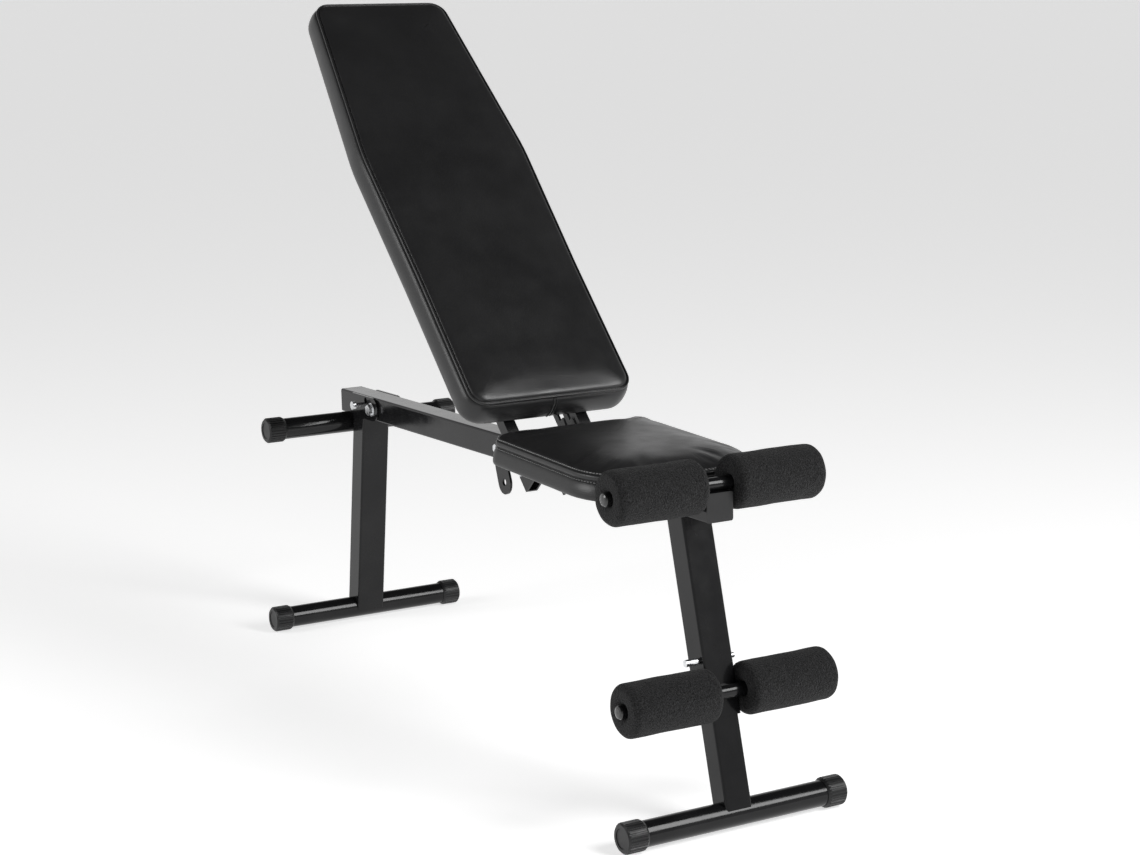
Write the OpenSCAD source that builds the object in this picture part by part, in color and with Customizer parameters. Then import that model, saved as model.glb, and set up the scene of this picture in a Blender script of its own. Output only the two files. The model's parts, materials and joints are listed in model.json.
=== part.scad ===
// Adjustable weight bench: sloping main beam on two folding / extending legs,
// level seat, tilting backrest and two pairs of foam leg rollers.
// Millimetres. X runs across the bench, +Y points to the rear, Z is up, the floor is Z = 0.

/* [Main beam] */
// Width of the main beam across the bench
beam_w = 44; // [42:0.5:44]
// Depth of the main beam
beam_h = 42; // [41:0.5:43]
// Length of the main beam
beam_len = 1195; // [1190:1:1198]
// Wall of the main beam
beam_wall = 2; // [1.5:0.5:3]
// Rise of the beam towards the front, in degrees
beam_tilt = 2.53; // [2.4:0.01:2.7]

/* [Feet] */
// Outside diameter of the round foot tubes
foot_tube_d = 38; // [34:1:40]
// Length of a foot over its two end caps
foot_len = 374; // [340:2:420]
// Outside diameter of the ribbed end caps
cap_d = 45; // [43:0.5:48]
// Length of an end cap
cap_len = 34; // [28:1:40]
// Number of ribs round an end cap
cap_ribs = 28; // [20:4:36]

/* [Front leg] */
// Lean of the front leg from the beam's square line, in degrees
front_lean = 14.27; // [14:0.01:14.6]
// Length of the outer sleeve of the front leg
sleeve_len = 292; // [288:1:296]
// Travel of the inner leg tube down from its lowest setting
front_travel = 80; // [40:40:80]

/* [Rear leg] */
// Lean of the rear leg from the beam's square line, in degrees
rear_lean = 8.4; // [8.2:0.1:8.8]

/* [Seat] */
// Half width of the seat at its seam
seat_half_w = 139; // [135:1:142]
// Height of the seat's crown above its seam
seat_crown = 16; // [12:1:18]

/* [Backrest] */
// Angle between the backrest and the beam as stored, in degrees
back_angle = 46.6; // [46:0.1:47]
// Half width of the backrest at its seam near the seat
back_half_w = 144; // [140:1:148]
// Length of the backrest frame rails
rail_len = 700; // [660:10:740]

/* [Rollers] */
// Outside diameter of the upper foam rollers
upper_roller_d = 79.5; // [76:0.5:82]
// Outside diameter of the lower foam rollers
lower_roller_d = 78; // [75:0.5:80]
// Length of a foam roller
roller_len = 147; // [143:1:147]

/* [Hidden] */
$fn = 64;

// placement of the beam's top rear reference point
beam_y = 590.325;
beam_z = 429.45;
beam_rear = 40.5;
beam_front = beam_rear - beam_len;
tube_wall = 2;
tube_corner = 3.5;
run_gap = 0.05;
side_gap = 0.4;
cap_r = cap_d / 2;
foot_r = foot_tube_d / 2;

// rear leg, in beam coordinates
leg_pivot = [-94, -21];
leg_origin = [-37.1, -31.1];
leg_bolt_r = 5;
post_w = 52;
post_d = 43;
post_top = -43.5;
ear_in = beam_w / 2 + side_gap;
ear_out = post_w / 2;
lock_hole = [-48, -18];
spare_hole = [-68.8, -7.5];
pin_r = 4;
pin_hole_r = 4.3;
lock_reach = norm(lock_hole - leg_pivot);
lock_rise = atan2(lock_hole[1] - leg_pivot[1], lock_hole[0] - leg_pivot[0]);
rear_len = (leg_origin[0] * -sin(beam_tilt) + leg_origin[1] * cos(beam_tilt) + beam_z - cap_r)
  / cos(rear_lean - beam_tilt);

// front leg, measured down the leg from the beam's underside
front_origin = [-1075.3, -beam_h];
sleeve_w = 50;
sleeve_d = 42;
sleeve_wall = 2.5;
inner_w = 44;
inner_d = 36;
inner_top = 60;
front_pin_at = 210;
front_pin_y = -8;
front_len = (front_origin[0] * -sin(beam_tilt) + front_origin[1] * cos(beam_tilt) + beam_z - cap_r)
  / cos(front_lean + beam_tilt);

// leg rollers
roller_tube_r = 10;
roller_tube_len = 352;
upper_roller_at = [-1138, 8.8];
lower_roller_at = [-28.5, -257.4];
roller_in = 26;
plug_r = 10;

// rear cross tube, in beam coordinates
cross_at = [13, -57];

// accessory hook plates, in beam coordinates
hook_bolt_at = [-560, -22];
hook_hole_at = [-579, -75];
hook_t = 4;
hook_hole_r = 6;

// seat, heights above the floor
seat_rear = -152.2;
seat_front = -498.7;
seat_skirt_z = 457;
seat_seam_z = 485;
seat_band = 10;
seat_board_z = 478;
seat_board_t = 12;
seat_flare = 7;

// backrest, pad coordinates: Y runs up the pad, Z out of its face, Z = 0 at the seam
pad_at = [-702.8, 81.4];
back_pivot = [-738, -24];
pad_back = -46;
pad_rim = -49.6;
board_t = 14;
bar_t = 4;
rail_w = 20;
rail_in = 55;
rail_face = pad_back - bar_t;
lug_low = -126;
lug_top = -62;
lug_face = -39;
lug_deep = 32;
axle_r = 5;
screw_at = [90, 520];

// backrest adjuster
quad_r = 70;
quad_t = 4;
quad_in = beam_w / 2 + 0.5;
quad_out = 40;
quad_band = 12;
cross_w = 18;
cross_h = 11;
adj_r = 5;
adj_hole_r = 5.3;
adj_slot = [-36, 34];

module on_beam() {
  translate([0, beam_y, beam_z]) rotate([-beam_tilt, 0, 0]) children();
}

// along the front leg: -Z runs down the leg
module on_front_leg() {
  on_beam() translate([0, front_origin[0], front_origin[1]]) rotate([-front_lean, 0, 0]) children();
}

// along the rear leg: -Z runs down the leg
module on_rear_leg() {
  on_beam() translate([0, leg_origin[0], leg_origin[1]]) rotate([rear_lean, 0, 0]) children();
}

module on_pad() {
  on_beam() translate([0, pad_at[0], pad_at[1]]) rotate([back_angle, 0, 0]) children();
}

// pad directions about the backrest pivot
module on_back_pivot() {
  on_beam() translate([0, back_pivot[0], back_pivot[1]]) rotate([back_angle, 0, 0]) children();
}

// 2-D outline drawn in (Y, Z), extruded from x0 by t along X
module across(x0, t) {
  translate([x0, 0, 0]) rotate([90, 0, 90]) linear_extrude(t) children();
}

// round bar along X at (y, z)
module bar_x(x0, x1, r, at) {
  translate([x0, at[0], at[1]]) rotate([0, 90, 0]) cylinder(h = x1 - x0, r = r);
}

module hex_x(x0, x1, flats, at) {
  translate([x0, at[0], at[1]]) rotate([0, 90, 0]) cylinder(h = x1 - x0, d = flats / cos(30), $fn = 6);
}

module round_rect(w, d, r) {
  square([w - 2 * r, d], center = true);
  square([w, d - 2 * r], center = true);
  for (x = [-1, 1], y = [-1, 1]) translate([x * (w / 2 - r), y * (d / 2 - r)]) circle(r = r);
}

module box_tube(w, d, wall, z0, z1) {
  translate([0, 0, z0]) linear_extrude(z1 - z0) difference() {
    round_rect(w, d, tube_corner);
    round_rect(w - 2 * wall, d - 2 * wall, tube_corner - wall * 0.75);
  }
}

// round foot tube along X, between its caps
module foot_tube() {
  half = foot_len / 2 - 4;
  difference() {
    bar_x(-half, half, foot_r, [0, 0]);
    bar_x(-half - 1, half + 1, foot_r - tube_wall, [0, 0]);
  }
}

// ribbed push-on cap, open end at x = 0, closed end at x = cap_len
module ribbed_cap() {
  lip = 1;
  step = 360 / cap_ribs;
  rib = [
    for (i = [0 : cap_ribs - 1]) for (k = [0 : 3])
      let (a = i * step + [-0.34, -0.2, 0.2, 0.34][k] * step)
      let (r = cap_r / cos(0.2 * step) - [1.1, 0, 0, 1.1][k])
      [r * cos(a), r * sin(a)]
  ];
  difference() {
    intersection() {
      rotate([0, 90, 0]) linear_extrude(cap_len) polygon(rib);
      rotate([0, 90, 0]) rotate_extrude() polygon([
        [0, 0], [cap_r - 2.6, 0], [cap_r + 1, 6], [cap_r + 1, cap_len - 4],
        [cap_r - 3, cap_len], [0, cap_len]
      ]);
    }
    bar_x(-1, cap_len - 4, foot_r, [0, 0]);
    bar_x(cap_len - lip, cap_len + 1, cap_r - 8, [0, 0]);
  }
}

module cap_pair() {
  for (s = [0, 1]) mirror([s, 0, 0]) translate([foot_len / 2 - cap_len, 0, 0]) ribbed_cap();
}

// hexagon head bolt along X, head at the negative end
module bolt_x(x0, x1, r, flats, head, at) {
  bar_x(x0, x1, r, at);
  hex_x(x0 - head, x0, flats, at);
}

module nut_x(x0, t, flats, r, at) {
  difference() {
    hex_x(x0, x0 + t, flats, at);
    bar_x(x0 - 1, x0 + t + 1, r, at);
  }
}

module washer_x(x0, t, outer, r, at) {
  difference() {
    bar_x(x0, x0 + t, outer, at);
    bar_x(x0 - 1, x0 + t + 1, r, at);
  }
}

// ---- main frame ----

// curved slot through which the lock pin leaves the beam when the rear leg folds
module lock_sweep() {
  reach = 90;
  translate(leg_pivot) intersection() {
    difference() {
      circle(r = lock_reach + pin_hole_r);
      circle(r = lock_reach - pin_hole_r);
    }
    polygon([
      [0, 0],
      [reach * cos(lock_rise), reach * sin(lock_rise)],
      [reach * cos(-20), reach * sin(-20)],
      [reach * cos(-50), reach * sin(-50)]
    ]);
  }
  translate(lock_hole) circle(r = pin_hole_r);
}

module main_beam() {
  color("#1b1b1c") on_beam() difference() {
    translate([0, beam_rear, -beam_h / 2]) rotate([90, 0, 0])
      box_tube(beam_w, beam_h, beam_wall, 0, beam_len);
    bar_x(-beam_w, beam_w, leg_bolt_r, leg_pivot);
    bar_x(-beam_w, beam_w, axle_r, back_pivot);
    bar_x(-beam_w, beam_w, 4, hook_bolt_at);
    bar_x(-beam_w, beam_w, adj_hole_r, back_pivot + [quad_r, 0]);
    across(-beam_w, 2 * beam_w) lock_sweep();
  }
}

module beam_end_plugs() {
  flange = 2;
  depth = 18;
  color("#202021") on_beam() for (end = [0, 1])
    translate([0, end == 0 ? beam_front : beam_rear, -beam_h / 2]) mirror([0, end, 0])
      rotate([-90, 0, 0]) {
        linear_extrude(depth)
          round_rect(beam_w - 2 * beam_wall, beam_h - 2 * beam_wall, tube_corner - beam_wall * 0.75);
        translate([0, 0, -flange]) linear_extrude(flange) round_rect(beam_w, beam_h, tube_corner);
      }
}

module rear_cross_tube() {
  color("#1b1b1c") on_beam() difference() {
    translate([0, cross_at[0], cross_at[1]]) foot_tube();
    translate([-beam_w / 2, beam_front, -beam_h]) cube([beam_w, beam_len, beam_h]);
  }
}

module cross_tube_caps() {
  color("#262627") on_beam() translate([0, cross_at[0], cross_at[1]]) cap_pair();
}

// flat hook plates, one on each side of the beam
module hook_plates() {
  color("#202022") on_beam() for (x = [-beam_w / 2 - hook_t, beam_w / 2])
    across(x, hook_t) difference() {
      union() {
        translate(hook_hole_at) circle(r = 20);
        translate(hook_bolt_at) circle(r = 20);
        polygon([
          hook_hole_at + [-19.5, 4.5], hook_bolt_at + [-20, 0],
          hook_bolt_at + [20, 0], hook_hole_at + [19, -6.3]
        ]);
      }
      translate(hook_hole_at) circle(r = hook_hole_r);
      translate(hook_bolt_at) circle(r = 4);
    }
}

module hook_bolt() {
  color("#b9bbbd") on_beam()
    bolt_x(-beam_w / 2 - hook_t, beam_w / 2 + hook_t + 11, 4, 13, 5.5, hook_bolt_at);
}

module hook_nut() {
  color("#b9bbbd") on_beam() nut_x(beam_w / 2 + hook_t, 7, 13, 4, hook_bolt_at);
}

// ---- front leg ----

module sleeve_block() {
  translate([-sleeve_w / 2, -sleeve_d / 2, -sleeve_len]) cube([sleeve_w, sleeve_d, sleeve_len + 40]);
}

module front_leg_sleeve() {
  color("#1b1b1c") difference() {
    on_front_leg() box_tube(sleeve_w, sleeve_d, sleeve_wall, -sleeve_len, 40);
    on_front_leg() bar_x(-sleeve_w, sleeve_w, pin_hole_r, [front_pin_y, -front_pin_at]);
    on_beam() translate([-sleeve_w, beam_front - 50, -beam_h]) cube([2 * sleeve_w, 300, 200]);
  }
}

module roller_tube() {
  difference() {
    bar_x(-roller_tube_len / 2, roller_tube_len / 2, roller_tube_r, [0, 0]);
    bar_x(-roller_tube_len, roller_tube_len, roller_tube_r - 1.5, [0, 0]);
  }
}

module upper_roller_tube() {
  color("#1b1b1c") on_beam() difference() {
    translate([0, upper_roller_at[0], upper_roller_at[1]]) roller_tube();
    translate([-beam_w / 2, beam_front, -beam_h]) cube([beam_w, beam_len, beam_h]);
  }
}

module lower_roller_tube() {
  color("#1b1b1c") on_front_leg() difference() {
    translate([0, lower_roller_at[0], lower_roller_at[1]]) roller_tube();
    sleeve_block();
  }
}

// domed plug pushed into a roller tube's end
module roller_plug() {
  dome = 5;
  translate([roller_tube_len / 2, 0, 0]) rotate([0, 90, 0]) rotate_extrude() polygon([
    [0, -16], [roller_tube_r - 1.5, -16], [roller_tube_r - 1.5, 0], [plug_r, 0],
    [plug_r, 1.5], [plug_r - 1.2, 3.2], [plug_r - 4, 4.4], [0, dome]
  ]);
}

module roller_tube_plugs() {
  color("#151516") {
    on_beam() translate([0, upper_roller_at[0], upper_roller_at[1]])
      for (s = [0, 1]) mirror([s, 0, 0]) roller_plug();
    on_front_leg() translate([0, lower_roller_at[0], lower_roller_at[1]])
      for (s = [0, 1]) mirror([s, 0, 0]) roller_plug();
  }
}

// foam roller on its tube; side is -1 on the left and 1 on the right
module foam_roller(d, side) {
  r = d / 2;
  bore = roller_tube_r + run_gap;
  edge = 9;
  mirror([side < 0 ? 1 : 0, 0, 0]) translate([roller_in, 0, 0]) rotate([0, 90, 0])
    rotate_extrude() polygon([
      [bore, 0], [r - edge, 0], [r - 2.7, 2.7], [r, edge],
      [r, roller_len - edge], [r - 2.7, roller_len - 2.7], [r - edge, roller_len],
      [bore, roller_len]
    ]);
}

module upper_roller(side) {
  color("#2a2b2c") on_beam() translate([0, upper_roller_at[0], upper_roller_at[1]])
    foam_roller(upper_roller_d, side);
}

module lower_roller(side) {
  color("#2a2b2c") on_front_leg() translate([0, lower_roller_at[0], lower_roller_at[1]])
    foam_roller(lower_roller_d, side);
}

module upper_left_roller() {
  upper_roller(-1);
}

module upper_right_roller() {
  upper_roller(1);
}

module lower_left_roller() {
  lower_roller(-1);
}

module lower_right_roller() {
  lower_roller(1);
}

// inner tube with a keyhole track for the lock pin, three wide seats joined by a slot
module front_leg_tube() {
  seat_r = 5.5;
  color("#1b1b1c") on_front_leg() difference() {
    box_tube(inner_w, inner_d, tube_wall, -front_len, -inner_top);
    for (rise = [0 : 40 : front_travel])
      bar_x(-inner_w, inner_w, seat_r, [front_pin_y, -front_pin_at + rise]);
    translate([-inner_w, front_pin_y - pin_hole_r, -front_pin_at])
      cube([2 * inner_w, 2 * pin_hole_r, front_travel]);
    bar_x(-foot_len, foot_len, foot_r, [0, -front_len]);
  }
}

module front_foot_tube() {
  color("#1b1b1c") on_front_leg() translate([0, 0, -front_len]) foot_tube();
}

module front_foot_caps() {
  color("#262627") on_front_leg() translate([0, 0, -front_len])
    rotate([front_lean + beam_tilt, 0, 0]) cap_pair();
}

// lock pin: thin shank, thick grip on the left
module lock_pin(shank_from, tip, grip_r, grip_len, at) {
  bar_x(shank_from, tip - 2, pin_r, at);
  translate([tip - 2, at[0], at[1]]) rotate([0, 90, 0]) cylinder(h = 2, r1 = pin_r, r2 = pin_r - 1.6);
  bar_x(shank_from - grip_len, shank_from, grip_r, at);
}

module front_lock_pin() {
  color("#b9bbbd") on_front_leg()
    lock_pin(-29, 36, 5.25, 19, [front_pin_y, -front_pin_at]);
}

// ---- rear leg ----

module leg_pivot_bolt() {
  color("#b9bbbd") on_beam() bolt_x(-28.1, 39.5, leg_bolt_r, 17, 7, leg_pivot);
}

module leg_pivot_nut() {
  color("#b9bbbd") on_beam() nut_x(28.1, 8.5, 17, leg_bolt_r, leg_pivot);
}

module leg_pivot_washers() {
  color("#b9bbbd") on_beam() for (x = [-28.1, 26.4])
    washer_x(x, 1.7, 12, leg_bolt_r, leg_pivot);
}

module rear_leg_post() {
  color("#1b1b1c") difference() {
    on_rear_leg() box_tube(post_w, post_d, sleeve_wall, -rear_len, 20);
    on_rear_leg() bar_x(-foot_len, foot_len, foot_r, [0, -rear_len]);
    on_beam() translate([-post_w, -100, post_top]) cube([2 * post_w, 200, 100]);
  }
}

// side plates that carry the pivot and the lock pin
module rear_leg_ears() {
  color("#1b1b1c") on_beam() for (x = [-ear_out, ear_in])
    across(x, ear_out - ear_in) difference() {
      union() {
        translate(leg_pivot) circle(r = 21);
        polygon([
          [leg_pivot[0], -42], [-57.5, -42], [-57.5, post_top], [-13.2, post_top],
          [-13.2, 0], [leg_pivot[0], 0]
        ]);
      }
      translate(leg_pivot) circle(r = leg_bolt_r + run_gap);
      translate(lock_hole) circle(r = pin_hole_r);
      translate(spare_hole) circle(r = 5.5);
    }
}

module rear_foot_tube() {
  color("#1b1b1c") on_rear_leg() translate([0, 0, -rear_len]) foot_tube();
}

module rear_foot_caps() {
  color("#262627") on_rear_leg() translate([0, 0, -rear_len])
    rotate([beam_tilt - rear_lean, 0, 0]) cap_pair();
}

module rear_lock_pin() {
  color("#b9bbbd") on_beam() lock_pin(-38, 35, 7.5, 5.4, lock_hole);
}

// ---- seat ----

// seat outline grown by g, corners rounded; rear corners tight, front corners wide
module seat_outline(g) {
  rear_r = 28;
  front_r = 108;
  half = seat_half_w;
  mid = seat_front + front_r;
  intersection() {
    translate([-half - g, seat_front - g]) square([2 * half + 2 * g, seat_rear - seat_front + g]);
    union() {
      for (s = [-1, 1]) {
        translate([s * (half - front_r), mid]) circle(r = front_r + g);
        translate([s * (half + g - rear_r), seat_rear - rear_r]) circle(r = rear_r);
      }
      translate([front_r - half, seat_front - g]) square([2 * (half - front_r), 100]);
      translate([-half - g, mid]) square([2 * half + 2 * g, seat_rear - rear_r - mid]);
      translate([rear_r - half - g, mid]) square([2 * (half + g - rear_r), seat_rear - mid]);
    }
  }
}

module seat_slab(g, z0, z1) {
  translate([0, 0, z0]) linear_extrude(z1 - z0) seat_outline(g);
}

// beam-top height under the seat is reached by four angle brackets on the beam's sides
module seat_brackets() {
  leaf = 4;
  reach = 34;
  color("#1b1b1c") for (s = [0, 1], y = [-232, -430]) mirror([s, 0, 0]) {
    intersection() {
      translate([beam_w / 2, y - 20, 440]) cube([leaf, 40, seat_board_z - 440]);
      on_beam() translate([0, beam_front, -30]) cube([100, beam_len, 100]);
    }
    difference() {
      translate([beam_w / 2 + leaf, y - 20, seat_board_z - leaf]) cube([reach, 40, leaf]);
      translate([beam_w / 2 + 22, y, seat_board_z - leaf - 1]) cylinder(h = leaf + 2, r = 3);
    }
  }
}

module seat_screws() {
  color("#b9bbbd") for (x = [-beam_w / 2 - 22, beam_w / 2 + 22], y = [-232, -430])
    translate([x, y, seat_board_z - 4]) {
      cylinder(h = 14, r = 3);
      translate([0, 0, -4]) cylinder(h = 4, d = 10 / cos(30), $fn = 6);
    }
}

module seat_board() {
  color("#2b2622") difference() {
    seat_slab(-6, seat_board_z, seat_board_z + seat_board_t);
    for (x = [-beam_w / 2 - 22, beam_w / 2 + 22], y = [-232, -430])
      translate([x, y, seat_board_z - 1]) cylinder(h = 11, r = 3);
  }
}

module seat_pad() {
  skirt = 10;
  color("#1f1f20") difference() {
    union() {
      seat_slab(seat_flare, seat_skirt_z + 6, seat_seam_z - 8);
      seat_slab(seat_flare - 3, seat_skirt_z, seat_seam_z - 8);
      seat_slab(3, seat_seam_z - 8, seat_seam_z + seat_band);
      seat_slab(-6, seat_seam_z + seat_band, seat_seam_z + seat_band + 7);
      seat_slab(-26, seat_seam_z + seat_band + 7, seat_seam_z + seat_band + seat_crown);
    }
    seat_slab(-6, seat_board_z, seat_board_z + seat_board_t);
    seat_slab(-skirt, seat_skirt_z - 1, seat_board_z);
    on_beam() translate([-beam_w / 2 - side_gap, beam_front, -beam_h - 20])
      cube([beam_w + 2 * side_gap, beam_len, beam_h + 20 + side_gap]);
  }
}

// ---- backrest ----

module back_pivot_bolt() {
  color("#b9bbbd") on_beam() mirror([1, 0, 0])
    bolt_x(-77.2, 89, axle_r, 17, 6.5, back_pivot);
}

module back_pivot_nut() {
  color("#b9bbbd") on_beam() nut_x(-85.5, 8, 17, axle_r, back_pivot);
}

module back_pivot_washers() {
  color("#b9bbbd") on_beam() for (x = [-77.2, 75.4])
    washer_x(x, 1.8, 11, axle_r, back_pivot);
}

// tubes on the axle that keep the lugs and the adjuster plates apart
module pivot_spacers() {
  color("#2a2a2b") on_beam() for (span = [
      [-rail_in, -beam_w / 2 - 0.5],
      [quad_in + quad_t, quad_out],
      [quad_out + quad_t, rail_in]
    ]) washer_x(span[0], span[1] - span[0], 9, axle_r + run_gap, back_pivot);
}

// deeper tube ends that carry the axle
module hinge_lugs() {
  color("#1b1b1c") for (s = [0, 1]) mirror([s, 0, 0]) difference() {
    on_pad() translate([rail_in, lug_low, lug_face - lug_deep])
      cube([rail_w, lug_top - lug_low, lug_deep]);
    on_pad() translate([rail_in + 3, lug_low - 1, lug_face - lug_deep + 3])
      cube([rail_w - 6, lug_top - lug_low + 2, lug_deep - 6]);
    on_beam() bar_x(rail_in - 1, rail_in + rail_w + 1, axle_r + run_gap, back_pivot);
  }
}

module backrest_rails() {
  wall = 1.5;
  color("#1b1b1c") on_pad() for (x = [-rail_in - rail_w, rail_in]) difference() {
    translate([x, lug_top, rail_face - rail_w]) cube([rail_w, rail_len, rail_w]);
    translate([x + wall, lug_top - 1, rail_face - rail_w + wall])
      cube([rail_w - 2 * wall, rail_len + 2, rail_w - 2 * wall]);
    for (y = screw_at)
      translate([x + rail_w / 2, y, rail_face - rail_w - 1]) cylinder(h = rail_w + 2, r = 3);
  }
}

module rail_end_plugs() {
  wall = 1.5;
  color("#202021") on_pad() for (x = [-rail_in - rail_w, rail_in])
    translate([x, lug_top + rail_len, rail_face - rail_w]) {
      cube([rail_w, 2, rail_w]);
      translate([wall, -14, wall]) cube([rail_w - 2 * wall, 14, rail_w - 2 * wall]);
    }
}

// tube between the rails that carries the adjuster plates
module adjuster_crossbar() {
  color("#1b1b1c") on_pad() translate([-rail_in, 16, rail_face - 1 - cross_h]) difference() {
    cube([2 * rail_in, cross_w, cross_h]);
    translate([-1, 1.5, 1.5]) cube([2 * rail_in + 2, cross_w - 3, cross_h - 3]);
  }
}

// 2-D quadrant about the backrest pivot, in beam directions
module quadrant_outline() {
  outer = quad_r + quad_band;
  inner = quad_r - quad_band;
  far = 200;
  span = [adj_slot[0] - 12, adj_slot[1] + 17];
  difference() {
    union() {
      intersection() {
        difference() {
          circle(r = outer);
          circle(r = inner);
        }
        polygon([
          [0, 0],
          [far * cos(span[0]), far * sin(span[0])],
          [far * cos(0), far * sin(0)],
          [far * cos(span[1]), far * sin(span[1])]
        ]);
      }
      circle(r = 14);
      for (a = [span[0] + 8, back_angle]) rotate(a) translate([0, -7]) square([inner + 4, 14]);
      rotate(back_angle) translate([inner - 4, -15.2]) square([63, cross_h]);
    }
    circle(r = axle_r + run_gap);
    intersection() {
      difference() {
        circle(r = quad_r + adj_hole_r);
        circle(r = quad_r - adj_hole_r);
      }
      polygon([
        [0, 0],
        [far * cos(adj_slot[0]), far * sin(adj_slot[0])],
        [far * cos(0), far * sin(0)],
        [far * cos(adj_slot[1]), far * sin(adj_slot[1])]
      ]);
    }
    for (a = [adj_slot[0], -24, -12, 0, 12, 24])
      rotate(a) translate([quad_r, 0]) circle(r = adj_hole_r + 1.2);
  }
}

// pair of slotted adjuster plates right of the beam
module quadrant_plates() {
  color("#1d1d1e") difference() {
    on_beam() translate([0, back_pivot[0], back_pivot[1]])
      for (x = [quad_in, quad_out]) across(x, quad_t) quadrant_outline();
    on_pad() translate([-rail_in, 16, rail_face - 1 - cross_h]) cube([2 * rail_in, cross_w, cross_h]);
  }
}

module adjuster_pin() {
  at = back_pivot + [quad_r, 0];
  color("#b9bbbd") on_beam() {
    bar_x(-27, 46, adj_r, at);
    translate([46, at[0], at[1]]) rotate([0, 90, 0]) cylinder(h = 2.5, r1 = adj_r, r2 = adj_r - 2);
    bar_x(-46, -27, 9, at);
  }
}

// flat bars welded across the rails, screwed to the backrest board
module pad_crossbars() {
  color("#1b1b1c") on_pad() for (y = screw_at) difference() {
    translate([-95, y - 20, rail_face]) cube([190, 40, bar_t]);
    for (x = [-rail_in - rail_w / 2, rail_in + rail_w / 2])
      translate([x, y, rail_face - 1]) cylinder(h = bar_t + 2, r = 3);
  }
}

module backrest_screws() {
  color("#b9bbbd") on_pad() for (x = [-rail_in - rail_w / 2, rail_in + rail_w / 2], y = screw_at)
    translate([x, y, rail_face - rail_w]) {
      cylinder(h = rail_w + bar_t + 10, r = 3);
      translate([0, 0, -4]) cylinder(h = 4, d = 10 / cos(30), $fn = 6);
    }
}

// backrest outline, offset g outwards; the upper end narrows
module back_outline(g, low, top) {
  half = back_half_w;
  r = 24;
  wide = [half + g, half + 5 + g, half + 4 + g];
  level = [low, 480, 530];
  tip = 121 + g;
  union() {
    polygon([
      [-wide[0] + r, low], [wide[0] - r, low], [wide[0], low + r], [wide[1], level[1]],
      [wide[2], level[2]], [tip, top - r], [tip - r * 0.9, top], [r * 0.9 - tip, top],
      [-tip, top - r], [-wide[2], level[2]], [-wide[1], level[1]], [-wide[0], low + r]
    ]);
    for (s = [-1, 1]) translate([s * (wide[0] - r), low + r]) circle(r = r);
  }
}

module back_slab(g, low, top, z0, z1) {
  translate([0, 0, z0]) linear_extrude(z1 - z0) back_outline(g, low, top);
}

module backrest_board() {
  color("#2b2622") on_pad() difference() {
    back_slab(-4, -4, 845, pad_back, pad_back + board_t);
    for (x = [-rail_in - rail_w / 2, rail_in + rail_w / 2], y = screw_at)
      translate([x, y, pad_back - 1]) cylinder(h = 11, r = 3);
  }
}

module backrest_pad() {
  color("#1f1f20") on_pad() difference() {
    union() {
      back_slab(2, -10, 850, pad_rim, -41);
      back_slab(6, -13, 852, -41, -12);
      back_slab(2, -5, 842, -12, 1);
      back_slab(-10, 8, 828, 1, 5);
      back_slab(-30, 28, 806, 5, 8);
    }
    back_slab(-4, -4, 845, pad_back, pad_back + board_t);
    back_slab(-8, 0, 841, pad_rim - 1, pad_back + 1);
  }
}

main_beam();
beam_end_plugs();
rear_cross_tube();
cross_tube_caps();
hook_plates();
hook_bolt();
hook_nut();
front_leg_sleeve();
upper_roller_tube();
lower_roller_tube();
roller_tube_plugs();
upper_left_roller();
upper_right_roller();
lower_left_roller();
lower_right_roller();
front_leg_tube();
front_foot_tube();
front_foot_caps();
front_lock_pin();
leg_pivot_bolt();
leg_pivot_nut();
leg_pivot_washers();
rear_leg_post();
rear_leg_ears();
rear_foot_tube();
rear_foot_caps();
rear_lock_pin();
seat_brackets();
seat_screws();
seat_board();
seat_pad();
back_pivot_bolt();
back_pivot_nut();
back_pivot_washers();
pivot_spacers();
hinge_lugs();
backrest_rails();
rail_end_plugs();
adjuster_crossbar();
quadrant_plates();
adjuster_pin();
pad_crossbars();
backrest_screws();
backrest_board();
backrest_pad();
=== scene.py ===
import bmesh
import bpy
import json
import math
import numpy as np
from mathutils import Matrix, Vector, kdtree


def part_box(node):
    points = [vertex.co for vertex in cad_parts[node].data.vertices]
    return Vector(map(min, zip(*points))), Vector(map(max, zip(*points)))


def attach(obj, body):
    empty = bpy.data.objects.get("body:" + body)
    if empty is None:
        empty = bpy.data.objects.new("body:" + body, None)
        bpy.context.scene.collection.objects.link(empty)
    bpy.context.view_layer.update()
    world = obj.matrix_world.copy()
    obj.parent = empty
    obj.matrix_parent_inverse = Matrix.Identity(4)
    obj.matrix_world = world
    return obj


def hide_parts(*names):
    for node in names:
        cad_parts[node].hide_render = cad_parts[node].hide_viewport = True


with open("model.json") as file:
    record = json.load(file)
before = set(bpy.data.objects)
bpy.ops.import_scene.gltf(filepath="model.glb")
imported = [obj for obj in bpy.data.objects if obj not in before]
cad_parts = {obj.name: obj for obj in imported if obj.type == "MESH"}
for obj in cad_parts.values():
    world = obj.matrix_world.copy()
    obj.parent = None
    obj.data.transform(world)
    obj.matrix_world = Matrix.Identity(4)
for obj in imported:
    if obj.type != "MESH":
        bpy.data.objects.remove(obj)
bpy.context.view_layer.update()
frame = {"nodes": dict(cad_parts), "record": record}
MM = 0.001

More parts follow.
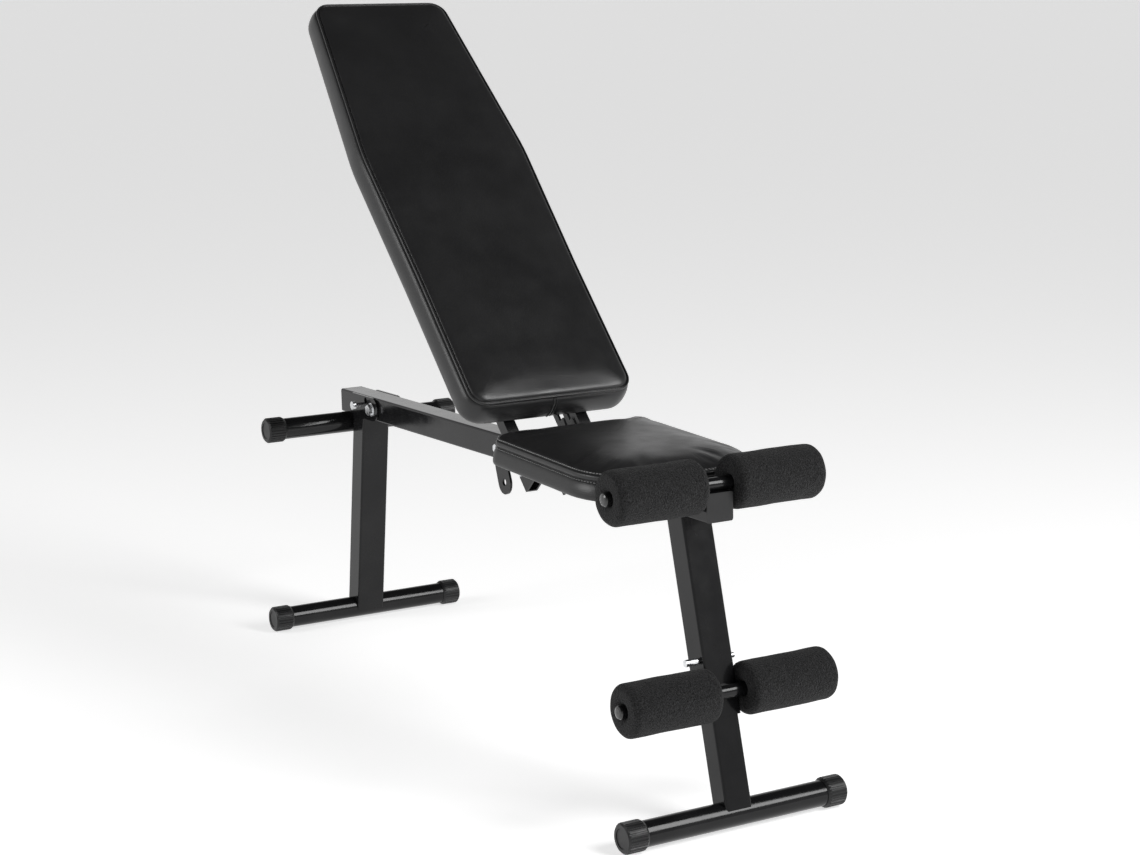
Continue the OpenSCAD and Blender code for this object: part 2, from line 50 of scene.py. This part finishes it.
# the same reference frames as the CAD part, in metres
BEAM_TILT = math.radians(2.53)
BACK_ANGLE = math.radians(46.6)
LEG_RAKE = math.radians(14.27)
BEAM = Matrix.Translation((0, 0.590325, 0.42945)) @ Matrix.Rotation(-BEAM_TILT, 4, "X")
PAD = BEAM @ Matrix.Translation((0, -0.7028, 0.0814)) @ Matrix.Rotation(BACK_ANGLE, 4, "X")
LEG = BEAM @ Matrix.Translation((0, -1.0753, -0.042)) @ Matrix.Rotation(-LEG_RAKE, 4, "X")
UPPER_ROLLER = BEAM @ Matrix.Translation((0, -1.138, 0.0088))
LOWER_ROLLER = LEG @ Matrix.Translation((0, -0.0285, -0.2574))


# ---------------------------------------------------------------- materials
NOISE_SPAN = (0.3, 0.7)     # where most of a noise texture's values lie


def map_range(tree, value, lo, hi, to_lo, to_hi, kind="LINEAR"):
    """Adds a Map Range node for value to a node tree and returns its output."""
    n = tree.nodes.new("ShaderNodeMapRange")
    n.interpolation_type = kind
    for key, v in (("From Min", lo), ("From Max", hi), ("To Min", to_lo), ("To Max", to_hi)):
        n.inputs[key].default_value = v
    tree.links.new(value, n.inputs["Value"])
    return n.outputs["Result"]


class Mat:
    """A procedural Principled material and short helpers for its nodes."""

    def __init__(self, name, color, rough, metallic=0.0, **extra):
        self.m = bpy.data.materials.new(name)
        self.m.use_nodes = True
        self.t = self.m.node_tree
        self.b = self.t.nodes["Principled BSDF"]
        self.b.inputs["Base Color"].default_value = (*color, 1)
        self.b.inputs["Roughness"].default_value = rough
        self.b.inputs["Metallic"].default_value = metallic
        for key, value in extra.items():
            self.b.inputs[key.replace("_", " ")].default_value = value
        self.coord = self.t.nodes.new("ShaderNodeTexCoord").outputs["Object"]
        self.height = None

    def node(self, kind, **values):
        n = self.t.nodes.new(kind)
        for key, value in values.items():
            if hasattr(n, key):
                setattr(n, key, value)
            else:
                n.inputs[key.replace("_", " ")].default_value = value
        return n

    def link(self, a, b):
        self.t.links.new(a, b)

    def noise(self, scale, detail=3.0, rough=0.55, stretch=None):
        n = self.node("ShaderNodeTexNoise", Scale=scale, Detail=detail, Roughness=rough)
        vec = self.coord
        if stretch:
            m = self.node("ShaderNodeMapping")
            m.inputs["Scale"].default_value = stretch
            self.link(vec, m.inputs["Vector"])
            vec = m.outputs["Vector"]
        self.link(vec, n.inputs["Vector"])
        return n.outputs["Fac"]

    def voronoi(self, scale):
        n = self.node("ShaderNodeTexVoronoi", Scale=scale)
        self.link(self.coord, n.inputs["Vector"])
        return n.outputs["Distance"]

    def math(self, op, a, b):
        n = self.node("ShaderNodeMath", operation=op)
        for i, v in enumerate((a, b)):
            if isinstance(v, (int, float)):
                n.inputs[i].default_value = v
            else:
                self.link(v, n.inputs[i])
        return n.outputs[0]

    def bump(self, height, strength, distance):
        """Adds one layer of bump on top of those already there."""
        n = self.node("ShaderNodeBump", Strength=strength, Distance=distance)
        self.link(height, n.inputs["Height"])
        if self.height is not None:
            self.link(self.height, n.inputs["Normal"])
        self.height = n.outputs["Normal"]
        self.link(self.height, self.b.inputs["Normal"])

    def rough(self, value, lo, hi):
        self.link(map_range(self.t, value, *NOISE_SPAN, lo, hi), self.b.inputs["Roughness"])

    def tint(self, value, dark, light, span=NOISE_SPAN):
        n = self.node("ShaderNodeValToRGB")
        for stop, at, color in zip(n.color_ramp.elements, span, (dark, light)):
            stop.position = at
            stop.color = (*color, 1)
        self.link(value, n.inputs["Fac"])
        self.link(n.outputs["Color"], self.b.inputs["Base Color"])


def powder_coat():
    m = Mat("powder_coat", (0.007, 0.007, 0.0075), 0.14, Specular_IOR_Level=0.28)
    m.tint(m.noise(14, 4), (0.005, 0.005, 0.0055), (0.0105, 0.0105, 0.011))
    m.rough(m.noise(40, 5), 0.1, 0.19)
    m.bump(m.noise(150, 2, 0.4), 0.05, 0.0003)
    m.bump(m.noise(1800, 2), 0.03, 0.0002)
    return m.m


def moulded_plastic():
    m = Mat("moulded_plastic", (0.01, 0.01, 0.0105), 0.42, Specular_IOR_Level=0.4)
    m.tint(m.noise(30, 4), (0.007, 0.007, 0.0075), (0.013, 0.013, 0.0135))
    m.rough(m.noise(60, 4), 0.36, 0.5)
    m.bump(m.noise(1500, 3), 0.12, 0.0002)
    return m.m


def gloss_plastic():
    m = Mat("gloss_plastic", (0.008, 0.008, 0.008), 0.16, Coat_Weight=0.4, Coat_Roughness=0.08)
    m.rough(m.noise(80, 3), 0.12, 0.22)
    m.bump(m.noise(300, 2), 0.04, 0.0003)
    return m.m


def zinc_plate():
    m = Mat("zinc_plate", (0.75, 0.76, 0.78), 0.28, 1.0)
    m.tint(m.noise(120, 4), (0.66, 0.67, 0.69), (0.86, 0.87, 0.88))
    m.rough(m.noise(260, 5), 0.2, 0.4)
    m.bump(m.noise(900, 3), 0.08, 0.0002)
    return m.m


def foam_skin():
    """Matt speckled foam with open cells."""
    m = Mat("foam_skin", (0.017, 0.017, 0.018), 0.92, Sheen_Weight=0.05, Sheen_Roughness=0.5,
            Specular_IOR_Level=0.24)
    cells = m.voronoi(430)
    grain = m.noise(650, 4, 0.7)
    both = m.math("ADD", m.math("MULTIPLY", cells, 0.9), m.math("MULTIPLY", grain, 0.6))
    m.tint(m.noise(520, 4, 0.75), (0.0012, 0.0012, 0.0013), (0.033, 0.033, 0.034), (0.4, 0.66))
    m.bump(both, 0.9, 0.0018)
    m.bump(m.noise(70, 3), 0.25, 0.002)
    return m.m


def vinyl():
    """Embossed vinyl: slightly warped pebbles over a soft unevenness."""
    m = Mat("vinyl", (0.015, 0.015, 0.0155), 0.34, Specular_IOR_Level=0.42)
    pebbles = m.node("ShaderNodeTexVoronoi", feature="SMOOTH_F1", Scale=560)
    pebbles.inputs["Smoothness"].default_value = 0.35
    warp = m.node("ShaderNodeTexNoise", Scale=230, Detail=2)
    m.link(m.coord, warp.inputs["Vector"])
    mix = m.node("ShaderNodeMix", data_type="RGBA")
    mix.inputs["Factor"].default_value = 0.003
    m.link(m.coord, mix.inputs["A"])
    m.link(warp.outputs["Color"], mix.inputs["B"])
    m.link(mix.outputs["Result"], pebbles.inputs["Vector"])
    m.tint(m.noise(7, 4), (0.0125, 0.0125, 0.013), (0.018, 0.018, 0.0185))
    m.rough(m.noise(24, 5), 0.3, 0.4)
    m.bump(pebbles.outputs["Distance"], 0.2, 0.0005)
    m.bump(m.noise(1500, 3), 0.05, 0.0002)
    m.bump(m.noise(16, 3, 0.5), 0.12, 0.003)
    return m.m


def thread(name, dark, light):
    m = Mat(name, (dark, dark, dark), 0.6, Sheen_Weight=0.2)
    m.tint(m.noise(900, 3), (dark, dark, dark), (light, light, light))
    m.bump(m.noise(3000, 2), 0.3, 0.0002)
    return m.m


def stained_plywood():
    m = Mat("stained_plywood", (0.03, 0.026, 0.022), 0.6)
    grain = m.noise(60, 6, 0.6, (1, 0.08, 0.08))
    m.tint(grain, (0.016, 0.014, 0.012), (0.05, 0.043, 0.036))
    m.rough(m.noise(50, 4), 0.5, 0.7)
    m.bump(grain, 0.25, 0.0005)
    return m.m


LOOK = {
    "frame_paint": powder_coat(),
    "plastic_caps": moulded_plastic(),
    "gloss_plugs": gloss_plastic(),
    "zinc": zinc_plate(),
    "roller_foam": foam_skin(),
    "vinyl": vinyl(),
    "plywood": stained_plywood(),
}
# near-black thread for the stitches; on the fold seams its dark colour is also painted shade
# along the fold's edge
DARK_THREAD_AND_PAINTED_SHADE = thread("dark_thread_and_painted_shade", 0.002, 0.008)
LIGHT_THREAD = thread("light_thread", 0.16, 0.3)

for part in frame["record"]["subparts"]:
    ob = frame["nodes"][part["node"]]
    ob.data.materials.clear()
    ob.data.materials.append(LOOK[part["material_slot"]])


# ---------------------------------------------------------------- mesh helpers
def make(name, verts, faces, mat):
    me = bpy.data.meshes.new(name)
    me.from_pydata([tuple(v) for v in verts], [], faces)
    me.validate()
    me.polygons.foreach_set("use_smooth", [True] * len(me.polygons))
    me.materials.append(mat)
    ob = bpy.data.objects.new(name, me)
    bpy.context.scene.collection.objects.link(ob)
    return ob


def apply_modifiers(ob):
    bpy.context.view_layer.objects.active = ob
    for m in list(ob.modifiers):
        with bpy.context.temp_override(object=ob, active_object=ob):
            bpy.ops.object.modifier_apply(modifier=m.name)


def rounded(points, radii, seg=10):
    """Closed polygon with each corner rounded by its own radius, in seg steps."""
    out = []
    n = len(points)
    for i, (p, r) in enumerate(zip(points, radii)):
        p = Vector(p)
        a = (Vector(points[i - 1]) - p).normalized()
        b = (Vector(points[(i + 1) % n]) - p).normalized()
        half = a.angle(b) / 2
        cut = r / math.tan(half)
        centre = p + (a + b).normalized() * (r / math.sin(half))
        start = (p + a * cut) - centre
        end = (p + b * cut) - centre
        turn = start.angle_signed(end)
        for k in range(seg + 1):
            q = start.copy()
            q.rotate(Matrix.Rotation(-turn * k / seg, 2))
            out.append(centre + q)
    return out


def resample(points, count):
    """count points at even steps round a closed line, the first one at its start."""
    p = np.array([tuple(q) for q in points])
    p = np.vstack([p, p[:1]])
    step = np.linalg.norm(np.diff(p, axis=0), axis=1)
    at = np.concatenate([[0], np.cumsum(step)])
    want = np.linspace(0, at[-1], count, endpoint=False)
    return np.stack([np.interp(want, at, p[:, 0]), np.interp(want, at, p[:, 1])], 1)


def normals2(line):
    """Outward unit normals of a closed anticlockwise line."""
    d = np.roll(line, -1, 0) - np.roll(line, 1, 0)
    d /= np.linalg.norm(d, axis=1)[:, None]
    return np.stack([d[:, 1], -d[:, 0]], 1)


def drawn_in(line, spine, share):
    """The line moved towards a straight spine on the Y axis: share 0 leaves it where it is,
    share 1 puts it on the spine."""
    y = np.clip(line[:, 1], spine[0], spine[1])
    target = np.stack([np.zeros(len(line)), y], 1)
    return line + (target - line) * share


def skin(rings):
    """Quads between successive rings of equal length."""
    n = len(rings[0])
    faces = []
    for r in range(len(rings) - 1):
        for i in range(n):
            j = (i + 1) % n
            faces.append((r * n + i, r * n + j, (r + 1) * n + j, (r + 1) * n + i))
    return np.vstack(rings), faces


def weld(ob, dist=0.0004):
    """Merges near vertices and turns the faces outwards."""
    bm = bmesh.new()
    bm.from_mesh(ob.data)
    bmesh.ops.remove_doubles(bm, verts=bm.verts, dist=dist)
    bmesh.ops.dissolve_degenerate(bm, edges=bm.edges, dist=1e-5)
    bmesh.ops.recalc_face_normals(bm, faces=bm.faces)
    bm.to_mesh(ob.data)
    bm.free()


def ring3(line, height):
    """A flat ring of 3-D points from a 2-D line."""
    h = np.broadcast_to(height, len(line))
    return np.stack([line[:, 0], line[:, 1], h], 1)


# ---------------------------------------------------------------- cushions
COLUMNS = 420               # points round each ring
UNDER_SHARES = (1.0, 0.66, 0.33)    # rings that close the underside
FACE_STEPS = 14
CROWN_POWER = 2.2
CLOTH_FRAMES = 16
CLOTH_VOXEL = 0.006
CLOTH = {
    "quality": 5,
    "mass": 0.3,
    "tension_stiffness": 12,
    "compression_stiffness": 12,
    "shear_stiffness": 6,
    "bending_stiffness": 0.6,
    "use_pressure": True,
    "uniform_pressure_force": 4.0,
}
STITCH_PITCH = 0.0056
STITCH_LENGTH = 0.0038
STITCH_RADIUS = 0.00065
STITCH_LIFT = 0.0006
STITCH_SIDES = 6
STITCH_SHAPE = [(-0.5, 0.35), (-0.36, 0.95), (0.0, 1.0), (0.36, 0.95), (0.5, 0.35)]
FOLD_SIDES = 8


def cushion_rings(outer, seam, spine, under, side, top, crown):
    """Rings of a boxed cushion, from the middle of its underside over the border to the
    middle of its face. under and side rows are (blend from outer to seam, outward, height),
    top rows are (outward from the seam, height)."""
    out_n, seam_n = normals2(outer), normals2(seam)
    rings = []
    first, low = under[0]
    for s in UNDER_SHARES:
        rings.append(ring3(drawn_in(outer + out_n * first, spine, s), low))
    for out, h in under:
        rings.append(ring3(outer + out_n * out, h))
    for blend, out, h in side:
        line = outer * (1 - blend) + seam * blend
        nrm = out_n * (1 - blend) + seam_n * blend
        rings.append(ring3(line + nrm * out, h))
    for out, h in top:
        rings.append(ring3(seam + seam_n * out, h))
    last, h0 = top[-1]
    inner = seam + seam_n * last
    for k in range(1, FACE_STEPS + 1):
        s = k / FACE_STEPS
        h = h0 + (crown - h0) * (1 - (1 - s) ** CROWN_POWER)
        rings.append(ring3(drawn_in(inner, spine, s), h))
    return rings


def swell(rings, name, pinned, cap):
    """Inflates a remeshed copy of the cushion as cloth and returns, for each ring point,
    how far it moved, levelled off at cap. Points for which pinned() is true are held."""
    verts, faces = skin(rings)
    ob = make(name + "_cloth", verts, faces, LOOK["vinyl"])
    weld(ob, 0.0006)
    m = ob.modifiers.new("remesh", "REMESH")
    m.mode = "VOXEL"
    m.voxel_size = CLOTH_VOXEL
    apply_modifiers(ob)
    start = np.array([v.co[:] for v in ob.data.vertices])
    group = ob.vertex_groups.new(name="pin")
    held = [i for i, p in enumerate(start) if pinned(p)]
    group.add(held, 1.0, "REPLACE")
    c = ob.modifiers.new("cloth", "CLOTH")
    for key, value in CLOTH.items():
        setattr(c.settings, key, value)
    c.settings.vertex_group_mass = "pin"
    c.settings.effector_weights.gravity = 0
    c.collision_settings.use_collision = False
    c.point_cache.frame_start = 1
    c.point_cache.frame_end = CLOTH_FRAMES
    scene = bpy.context.scene
    for f in range(1, CLOTH_FRAMES + 1):
        scene.frame_set(f)
    solved = ob.evaluated_get(bpy.context.evaluated_depsgraph_get())
    end = np.array([v.co[:] for v in solved.data.vertices])
    scene.frame_set(1)
    bpy.data.objects.remove(ob)
    move = end - start
    size = np.linalg.norm(move, axis=1)
    big = np.maximum(size / cap, 1e-9)
    move *= (np.tanh(big) / big)[:, None]
    tree = kdtree.KDTree(len(start))
    for i, p in enumerate(start):
        tree.insert(p, i)
    tree.balance()
    result = np.zeros_like(verts)
    for i, p in enumerate(verts):
        near = tree.find_n(p, 6)
        w = np.array([1.0 / (q[2] + 0.002) for q in near])
        result[i] = (move[[q[1] for q in near]] * w[:, None]).sum(0) / w.sum()
    return result


def tube_faces(base, rings, sides):
    """Faces of a closed tube whose vertices start at base, with both ends capped."""
    faces = []
    for s in range(rings - 1):
        for q in range(sides):
            faces.append((base + s * sides + q, base + s * sides + (q + 1) % sides,
                          base + (s + 1) * sides + (q + 1) % sides, base + (s + 1) * sides + q))
    faces.append(tuple(base + q for q in range(sides - 1, -1, -1)))
    faces.append(tuple(base + (rings - 1) * sides + q for q in range(sides)))
    return faces


def stitches(name, path, normal, mat):
    """A row of short thread stitches along a closed 3-D path."""
    p = np.vstack([path, path[:1]])
    nn = np.vstack([normal, normal[:1]])
    at = np.concatenate([[0], np.cumsum(np.linalg.norm(np.diff(p, axis=0), axis=1))])
    count = int(at[-1] / STITCH_PITCH)
    verts, faces = [], []
    for k in range(count):
        a = k * at[-1] / count
        pos = np.array([np.interp(a, at, p[:, c]) for c in range(3)])
        nxt = np.array([np.interp(a + 0.001, at, p[:, c]) for c in range(3)])
        up = np.array([np.interp(a, at, nn[:, c]) for c in range(3)])
        t = nxt - pos
        t /= np.linalg.norm(t) + 1e-12
        up -= t * up.dot(t)
        up /= np.linalg.norm(up) + 1e-12
        across = np.cross(t, up)
        base = len(verts)
        for x, r in STITCH_SHAPE:
            lift = STITCH_RADIUS * 0.35 * (1 - (2 * x) ** 2)
            for q in range(STITCH_SIDES):
                ang = q * math.pi / 3
                verts.append(pos + t * x * STITCH_LENGTH
                             + across * math.cos(ang) * STITCH_RADIUS * r
                             + up * (math.sin(ang) * STITCH_RADIUS * r * 0.8 + lift))
        faces += tube_faces(base, len(STITCH_SHAPE), STITCH_SIDES)
    return make(name, verts, faces, mat)


def build_cushion(name, rings, place, stitch_rows, yarn, moves, body, node, extra=()):
    """Makes a cushion and its stitches on the given body, in place of a CAD node. extra
    holds functions that make one more piece from the cushion's rows of points."""
    verts, faces = skin(rings)
    verts = verts + moves
    ob = make(name, verts, faces, LOOK["vinyl"])
    rows = verts.reshape(len(rings), COLUMNS, 3)
    made = [ob]
    for k, row in enumerate(stitch_rows):
        path = rows[row]
        across = rows[min(row + 1, len(rings) - 1)] - rows[row - 1]
        along = np.roll(path, -1, 0) - np.roll(path, 1, 0)
        nrm = np.cross(along, across)
        nrm /= np.linalg.norm(nrm, axis=1)[:, None] + 1e-12
        made.append(stitches("%s_stitches_%d" % (name, k + 1), path + nrm * STITCH_LIFT,
                             nrm, yarn))
    weld(ob)
    sub = ob.modifiers.new("smooth", "SUBSURF")
    sub.levels = sub.render_levels = 1
    apply_modifiers(ob)
    ob.data.polygons.foreach_set("use_smooth", [True] * len(ob.data.polygons))
    made += [piece(rows) for piece in extra]
    for o in made:
        o.data.transform(place)
        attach(o, body)
    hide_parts(node)


def mm(points):
    return [(x * MM, y * MM) for x, y in points]


def mirror_outline(half):
    """Full anticlockwise outline from its right half, listed bottom to top."""
    return half + [(-x, y) for x, y in reversed(half)]


def start_at_bottom(line):
    """A closed line resampled to COLUMNS points, from the middle of its lowest side."""
    low = min(q[1] for q in line)
    return resample([Vector((0, low))] + line, COLUMNS)


# backrest, in pad coordinates: outlines and corner radii in mm, listed for the right half
SEAM_B = mirror_outline([(143.5, -4), (144, 250), (149.5, 500), (121, 838)])
RIM_B = mirror_outline([(147, -9), (148.5, 250), (153, 505), (121, 848)])
SEAM_RADII_B = [27, 900, 420, 27]
RIM_RADII_B = [34, 900, 420, 36]


def backrest_line(points, radii):
    return start_at_bottom(rounded(mm(points), [r * MM for r in radii + radii[::-1]]))


seam_b = backrest_line(SEAM_B, SEAM_RADII_B)
rim_b = backrest_line(RIM_B, RIM_RADII_B)

UNDER_B = [(-0.030, -0.0445), (-0.014, -0.0450), (-0.010, -0.0476), (-0.0048, -0.0494),
           (-0.0012, -0.0486), (0.0004, -0.0462)]
SIDE_B = [(0.05, 0.0018, -0.0430), (0.12, 0.0030, -0.0390), (0.22, 0.0038, -0.0335),
          (0.34, 0.0042, -0.0275), (0.46, 0.0042, -0.0220), (0.58, 0.0038, -0.0168),
          (0.70, 0.0030, -0.0122), (0.82, 0.0017, -0.0085), (0.92, -0.0002, -0.0058),
          (0.95, -0.0028, -0.0049), (0.97, 0.0002, -0.0039), (0.99, 0.0012, -0.0026),
          (1.0, 0.0013, -0.0010), (1.0, 0.0006, 0.0004)]
TOP_B = [(-0.0006, 0.0012), (-0.0016, 0.0004), (-0.0028, -0.0024), (-0.0040, 0.0006),
         (-0.0057, 0.0027), (-0.0085, 0.0042), (-0.0130, 0.0054), (-0.0190, 0.0062),
         (-0.0270, 0.0067)]
spine_b = (0.15, 0.70)
CROWN_B = 0.0078
SWELL_B = 0.0022
rings_b = cushion_rings(rim_b, seam_b, spine_b, UNDER_B, SIDE_B, TOP_B, CROWN_B)
ROW_RIM_B = len(UNDER_SHARES) + len(UNDER_B)
ROW_LOW_B = ROW_RIM_B + 9                       # the groove in SIDE_B
ROW_HIGH_B = ROW_RIM_B + len(SIDE_B) + 2        # the groove in TOP_B


def held_backrest(p):
    """The lower edge and a band along the seam keep their shape."""
    return p[2] < -0.041 or abs(p[2] + 0.002) < 0.0042 and p[2] < 0.0022


moves_b = swell(rings_b, "backrest", held_backrest, SWELL_B)


def fold_seam_with_painted_shade(name, column, radius):
    """A closing seam that runs down the border from the welt to its lower edge, made in
    near-black thread whose dark colour is painted shade along the fold's edge.
    """
    def piece(rows):
        path = rows[ROW_LOW_B:ROW_RIM_B - 2:-1, column]
        verts = []
        for k, p in enumerate(path):
            t = path[min(k + 1, len(path) - 1)] - path[max(k - 1, 0)]
            t = t / np.linalg.norm(t)
            side = np.array([1.0, 0.0, 0.0])
            out = np.cross(side, t)
            for q in range(FOLD_SIDES):
                a = q * math.pi / 4
                verts.append(p + side * radius * math.cos(a) + out * radius * 0.6 * math.sin(a))
        # the near-black colour of this tube is painted shade along the fold's edge, over a real
        # seam ridge
        return make(name, verts, tube_faces(0, len(path), FOLD_SIDES), DARK_THREAD_AND_PAINTED_SHADE)
    return piece


build_cushion("backrest_cushion", rings_b, PAD, [ROW_LOW_B, ROW_HIGH_B], DARK_THREAD_AND_PAINTED_SHADE, moves_b,
              "backrest", "backrest_pad",
              # two near-black tubes down the fold at the bottom middle: seam ridges whose dark
              # colour is painted shade
              [fold_seam_with_painted_shade("backrest_closing_seam_painted_shade", 0, 0.0018),
               fold_seam_with_painted_shade("backrest_closing_edge_painted_shade", 1, 0.0009)])

# seat: widths and lengths in floor coordinates, heights above its underside
lo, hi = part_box("seat_pad")
FLARE = 0.007
half = hi[0] - FLARE
rear = hi[1]
front = lo[1] + FLARE
base = lo[2]


def seat_line(grow, corner, nose):
    w = half + grow
    pts = [(w, front - grow), (w, rear), (-w, rear), (-w, front - grow)]
    return start_at_bottom(rounded(pts, [nose, corner, corner, nose], 24))


seam_s = seat_line(0.0, 0.026, 0.106)
rim_s = seat_line(0.0075, 0.030, 0.112)
UNDER_S = [(-0.0175, 0.024), (-0.0172, 0.010), (-0.0140, 0.0035), (-0.0085, 0.0010),
           (-0.0035, 0.0012), (-0.0008, 0.0032)]
SIDE_S = [(0.10, 0.0008, 0.0062), (0.22, 0.0012, 0.0100), (0.36, 0.0016, 0.0138),
          (0.52, 0.0018, 0.0176), (0.68, 0.0016, 0.0212), (0.82, 0.0010, 0.0244),
          (0.92, 0.0, 0.0266), (0.97, -0.0014, 0.0278), (1.0, -0.0016, 0.0285),
          (1.0, 0.0002, 0.0296), (1.0, 0.0011, 0.0316), (1.0, 0.0012, 0.0338),
          (1.0, 0.0008, 0.0360), (1.0, -0.0002, 0.0376)]
TOP_S = [(-0.0016, 0.0384), (-0.0022, 0.0390), (-0.0026, 0.0402), (-0.0042, 0.0424),
         (-0.0072, 0.0452), (-0.0115, 0.0477), (-0.0175, 0.0497), (-0.0260, 0.0513),
         (-0.0370, 0.0525)]
spine_s = (front + 0.135, rear - 0.135)
CROWN_S = 0.0545
SWELL_S = 0.004
rings_s = cushion_rings(rim_s, seam_s, spine_s, UNDER_S, SIDE_S, TOP_S, CROWN_S)
ROW_RIM_S = len(UNDER_SHARES) + len(UNDER_S)
ROW_LOW_S = ROW_RIM_S + 6                       # just under the groove in SIDE_S
ROW_HIGH_S = ROW_RIM_S + len(SIDE_S) + 2        # the groove in TOP_S


def held_seat(p):
    """The lower edge and the welt keep their shape."""
    at_edge = abs(p[0]) > half - 0.02 or p[1] < front + 0.1 or p[1] > rear - 0.02
    return p[2] < 0.012 or 0.026 < p[2] < 0.0415 and at_edge


moves_s = swell(rings_s, "seat", held_seat, SWELL_S)
build_cushion("seat_cushion", rings_s, Matrix.Translation((0, 0, base)),
              [ROW_LOW_S, ROW_HIGH_S], LIGHT_THREAD, moves_s, "frame", "seat_pad")


# ---------------------------------------------------------------- foam rollers
FOAM_BORE = 0.01005
FOAM_EDGE = 0.0105          # radius of the rounded ends
EDGE_STEPS = 8
LENGTH_STEPS = 16
FOAM_COLUMNS = 120


def foam_end(x, way, radius):
    """Half of a roller's profile, from inside its bore to the rounded edge at end x."""
    prof = [(x + way * 0.020, FOAM_BORE), (x + way * 0.006, FOAM_BORE),
            (x + way * 0.0022, FOAM_BORE + 0.0022), (x + way * 0.0006, FOAM_BORE + 0.007),
            (x, radius * 0.5)]
    for k in range(EDGE_STEPS + 1):
        t = k / EDGE_STEPS * math.pi / 2
        prof.append((x + way * FOAM_EDGE * (1 - math.cos(t)),
                     radius - FOAM_EDGE * (1 - math.sin(t))))
    return prof


def foam_roller(name, place, radius, side, body, node):
    a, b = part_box(node)
    x0, x1 = sorted((abs(a[0]), abs(b[0])))
    span = x1 - x0 - 2 * FOAM_EDGE
    middle = [(x0 + FOAM_EDGE + span * k / LENGTH_STEPS, radius) for k in range(1, LENGTH_STEPS)]
    prof = foam_end(x0, 1, radius) + middle + foam_end(x1, -1, radius)[::-1]
    rng = np.random.default_rng(sum(map(ord, name)))
    ph = rng.uniform(0, 6.28, 8)
    ang = np.arange(FOAM_COLUMNS) * 2 * math.pi / FOAM_COLUMNS
    rings = []
    for x, r in prof:
        wobble = (0.00022 * np.sin(3 * ang + ph[0] + x * 40)
                  + 0.00018 * np.sin(5 * ang + ph[1] - x * 70)
                  + 0.00014 * np.sin(9 * ang + ph[2] + x * 130) - 0.0003)
        rr = r + wobble if r > FOAM_BORE + 0.004 else np.full(FOAM_COLUMNS, r)
        rings.append(np.stack([np.full(FOAM_COLUMNS, side * x),
                               rr * np.cos(ang), rr * np.sin(ang)], 1))
    verts, faces = skin(rings + [rings[0]])
    ob = make(name, verts, faces, LOOK["roller_foam"])
    weld(ob, 0.00005)
    ob.data.transform(place)
    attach(ob, body)
    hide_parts(node)


for level, place, r in (("upper", UPPER_ROLLER, 0.03975), ("lower", LOWER_ROLLER, 0.039)):
    for word, side in (("left", -1), ("right", 1)):
        foam_roller("%s_%s_foam" % (level, word), place, r, side,
                    "roller_%s_%s" % (level, word), "%s_%s_roller" % (level, word))


# ---------------------------------------------------------------- stage, light, camera
bpy.ops.mesh.primitive_plane_add(size=160, location=(0, 30, -0.0004))
floor = bpy.context.object
floor.name = "floor"
paint = Mat("floor_paint", (0.75, 0.75, 0.75), 0.9, Specular_IOR_Level=0.1,
            Emission_Color=(1, 1, 1, 1), Emission_Strength=0.6)
floor.data.materials.append(paint.m)

# a dark ceiling over a pale horizon that is brightest behind the bench
world = bpy.data.worlds.new("studio")
bpy.context.scene.world = world
world.use_nodes = True
wt = world.node_tree
sky = wt.nodes["Background"]
sky.inputs["Color"].default_value = (1, 1, 1, 1)
where = wt.nodes.new("ShaderNodeSeparateXYZ")
wt.links.new(wt.nodes.new("ShaderNodeTexCoord").outputs["Generated"], where.inputs[0])
behind = map_range(wt, where.outputs["Y"], -0.2, 0.6, 0.6, 0.85, "SMOOTHSTEP")
low = map_range(wt, where.outputs["Z"], 0.2, 0.62, 1.0, 0.05, "SMOOTHSTEP")
glow = wt.nodes.new("ShaderNodeMath")
glow.operation = "MULTIPLY"
wt.links.new(behind, glow.inputs[0])
wt.links.new(low, glow.inputs[1])
wt.links.new(glow.outputs[0], sky.inputs["Strength"])


def area(name, at, to, size, power):
    """A rectangular softbox at one point, turned towards another."""
    d = bpy.data.lights.new(name, "AREA")
    d.shape = "RECTANGLE"
    d.size, d.size_y = size
    d.energy = power
    o = bpy.data.objects.new(name, d)
    bpy.context.scene.collection.objects.link(o)
    o.location = at
    o.rotation_euler = (Vector(to) - Vector(at)).to_track_quat("-Z", "Y").to_euler()


area("front_softbox", (1.6, -2.85, 2.4), (0, -0.4, 0.35), (1.5, 2.0), 105)
area("left_softbox", (-3.4, 0.9, 1.9), (0, 0, 0.6), (1.6, 1.6), 45)

# the photo's point of view
CAMERA_AT = (-1.7438, -3.102575, 1.2329)
az, el = math.radians(-30.61), math.radians(12.12)
back = Vector((math.sin(az) * math.cos(el), -math.cos(az) * math.cos(el), math.sin(el)))
right = Vector((math.cos(az), math.sin(az), 0))
up = back.cross(right)
cam_data = bpy.data.cameras.new("camera")
cam_data.sensor_width = 36
cam_data.lens = 71.73695
cam_data.clip_end = 300
cam = bpy.data.objects.new("camera", cam_data)
bpy.context.scene.collection.objects.link(cam)
cam.matrix_world = Matrix.Translation(CAMERA_AT) @ Matrix((right, up, back)).transposed().to_4x4()
bpy.context.scene.camera = cam
bpy.context.scene.view_settings.view_transform = "Standard"
